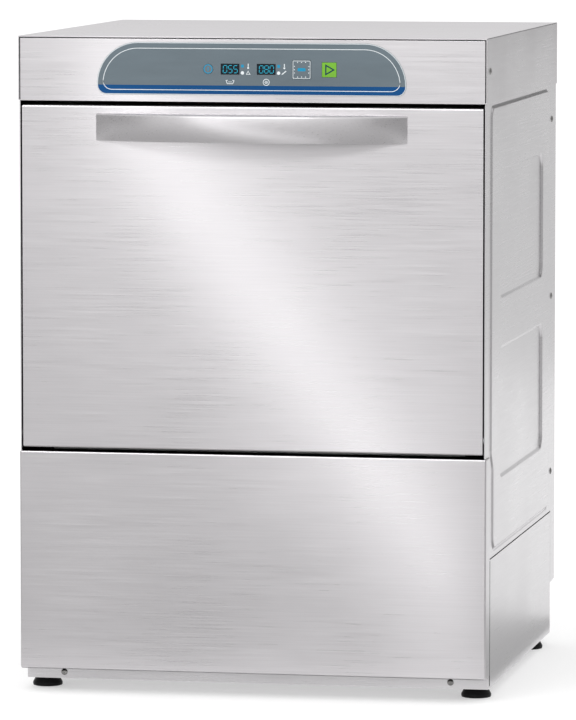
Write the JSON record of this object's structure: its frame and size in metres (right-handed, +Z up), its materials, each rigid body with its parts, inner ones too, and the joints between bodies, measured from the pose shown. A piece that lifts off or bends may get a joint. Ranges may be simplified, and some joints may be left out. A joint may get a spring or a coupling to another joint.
{
  "type": "undercounter commercial dishwasher",
  "caption": "Stainless undercounter commercial dishwasher with drop-down door, bowed handle, control fascia, wash chamber with spray arms, rack, pump and boiler.",
  "frame": {"origin": "on the floor, at the centre of the machine's plan with the door handle included", "axes": "+X to the right seen from the front, +Y from the front to the back, +Z up"},
  "size_m": [0.5932, 0.642, 0.822],
  "materials": {
    "steel_brushed": "horizontally brushed stainless sheet",
    "steel_side": "satin stainless sheet",
    "steel_inner": "smooth stainless sheet",
    "screw_steel": "bright zinc plated",
    "overlay_film": "slate printed polyester film",
    "display_glass": "dark display window",
    "key_blue": "printed key",
    "key_slate": "printed key",
    "key_green": "printed key",
    "black_plastic": "moulded black plastic",
    "light_plastic": "moulded light plastic",
    "grey_plastic": "moulded grey plastic",
    "board_green": "printed circuit board",
    "rubber_black": "matt black rubber",
    "motor_cast": "cast aluminium",
    "heater_alloy": "heat-tinted alloy tube",
    "brass_flange": "turned brass",
    "copper_pipe": "dull copper tube",
    "rack_blue": "injection-moulded polypropylene",
    "rotor_red": "moulded red plastic",
    "pipe_blue": "moulded blue plastic",
    "spring_steel": "oiled spring wire",
    "magnet_dark": "ferrite magnet"
  },
  "bodies": {
    "cabinet": {"base_chassis": "steel_side", "lower_front_panel": "steel_brushed", "front_panel_screws": "screw_steel", "top_panel": "steel_brushed", "side_panel_left": "steel_side", "side_panel_right": "steel_side", "rear_panel": "steel_side", "cabinet_screws": "screw_steel", "control_overlay": "overlay_film", "display_windows": "display_glass", "control_housing": "black_plastic", "control_board": "board_green", "chamber_shell": "steel_inner", "chamber_back_wall": "steel_inner", "wash_tank": "steel_inner", "door_gasket": "rubber_black", "rack_guide_left": "steel_inner", "rack_guide_right": "steel_inner", "tank_filters": "steel_inner", "sump_filter": "grey_plastic", "tank_heater": "heater_alloy", "lower_arm_manifold": "steel_inner", "upper_arm_hub": "steel_inner", "wash_feed_pipe": "black_plastic", "pump_housing": "black_plastic", "pump_motor": "motor_cast", "suction_hose": "rubber_black", "rinse_boiler": "steel_side", "boiler_heater": "brass_flange", "rinse_pipe": "copper_pipe", "inlet_valve": "light_plastic", "drain_pipe": "black_plastic", "dosing_pumps": "light_plastic", "terminal_box": "grey_plastic", "cable_gland": "black_plastic", "reed_switch": "light_plastic", "hinge_mounts": "steel_inner", "door_spring_left": "spring_steel", "door_spring_right": "spring_steel", "dish_rack": "rack_blue"},
    "door": {"door_outer_skin": "steel_brushed", "door_inner_liner": "steel_inner", "door_handle": "steel_brushed", "door_levers": "steel_inner", "door_magnet": "magnet_dark"},
    "lower_wash_arm_body": {"lower_wash_arm": "steel_brushed"},
    "lower_rinse_arm_body": {"lower_rinse_arm": "steel_inner"},
    "upper_wash_arm_body": {"upper_wash_arm": "steel_brushed"},
    "upper_rinse_arm_body": {"upper_rinse_arm": "steel_inner"},
    "standpipe_body": {"standpipe": "pipe_blue"},
    "pump_rotor_body": {"pump_rotor": "steel_inner"},
    "detergent_rotor_body": {"detergent_rotor": "rotor_red"},
    "rinse_aid_rotor_body": {"rinse_aid_rotor": "rotor_red"},
    "power_key_body": {"power_key": "key_blue"},
    "programme_key_body": {"programme_key": "key_slate"},
    "start_key_body": {"start_key": "key_green"},
    "foot_front_left_body": {"foot_front_left": "rubber_black"},
    "foot_front_right_body": {"foot_front_right": "rubber_black"},
    "foot_rear_left_body": {"foot_rear_left": "rubber_black"},
    "foot_rear_right_body": {"foot_rear_right": "rubber_black"}
  },
  "joints": [
    {"name": "door_hinge", "type": "hinge", "parent": "cabinet", "child": "door", "pos_m": [0, -0.269, 0.326], "axis": [1, 0, 0], "range_deg": [0, 90], "deforming": ["door_spring_left", "door_spring_right"]},
    {"name": "lower_wash_arm_spin", "type": "hinge", "parent": "cabinet", "child": "lower_wash_arm_body", "pos_m": [0, 0.021, 0.33], "axis": [0, 0, 1], "continuous": true},
    {"name": "lower_rinse_arm_spin", "type": "hinge", "parent": "cabinet", "child": "lower_rinse_arm_body", "pos_m": [0, 0.021, 0.33], "axis": [0, 0, 1], "continuous": true},
    {"name": "upper_wash_arm_spin", "type": "hinge", "parent": "cabinet", "child": "upper_wash_arm_body", "pos_m": [0, 0.021, 0.69], "axis": [0, 0, 1], "continuous": true},
    {"name": "upper_rinse_arm_spin", "type": "hinge", "parent": "cabinet", "child": "upper_rinse_arm_body", "pos_m": [0, 0.021, 0.69], "axis": [0, 0, 1], "continuous": true},
    {"name": "pump_rotor_spin", "type": "hinge", "parent": "cabinet", "child": "pump_rotor_body", "pos_m": [0, -0.029, 0.095], "axis": [1, 0, 0], "continuous": true},
    {"name": "detergent_rotor_spin", "type": "hinge", "parent": "cabinet", "child": "detergent_rotor_body", "pos_m": [-0.24, -0.219, 0.09], "axis": [0, 1, 0], "continuous": true},
    {"name": "rinse_aid_rotor_spin", "type": "hinge", "parent": "cabinet", "child": "rinse_aid_rotor_body", "pos_m": [-0.18, -0.219, 0.09], "axis": [0, 1, 0], "continuous": true},
    {"name": "standpipe_lift", "type": "slide", "parent": "cabinet", "child": "standpipe_body", "axis": [0, 0, 1], "range_m": [0, 0.04]},
    {"name": "power_key_press", "type": "slide", "parent": "cabinet", "child": "power_key_body", "axis": [0, 1, 0], "range_m": [0, 0.0008], "stiffness_N_per_m": 1500},
    {"name": "programme_key_press", "type": "slide", "parent": "cabinet", "child": "programme_key_body", "axis": [0, 1, 0], "range_m": [0, 0.0008], "stiffness_N_per_m": 1500},
    {"name": "start_key_press", "type": "slide", "parent": "cabinet", "child": "start_key_body", "axis": [0, 1, 0], "range_m": [0, 0.0008], "stiffness_N_per_m": 1500},
    {"name": "foot_front_left_height", "type": "slide", "parent": "cabinet", "child": "foot_front_left_body", "axis": [0, 0, -1], "range_m": [0, 0.015]},
    {"name": "foot_front_right_height", "type": "slide", "parent": "cabinet", "child": "foot_front_right_body", "axis": [0, 0, -1], "range_m": [0, 0.015]},
    {"name": "foot_rear_left_height", "type": "slide", "parent": "cabinet", "child": "foot_rear_left_body", "axis": [0, 0, -1], "range_m": [0, 0.015]},
    {"name": "foot_rear_right_height", "type": "slide", "parent": "cabinet", "child": "foot_rear_right_body", "axis": [0, 0, -1], "range_m": [0, 0.015]}
  ]
}
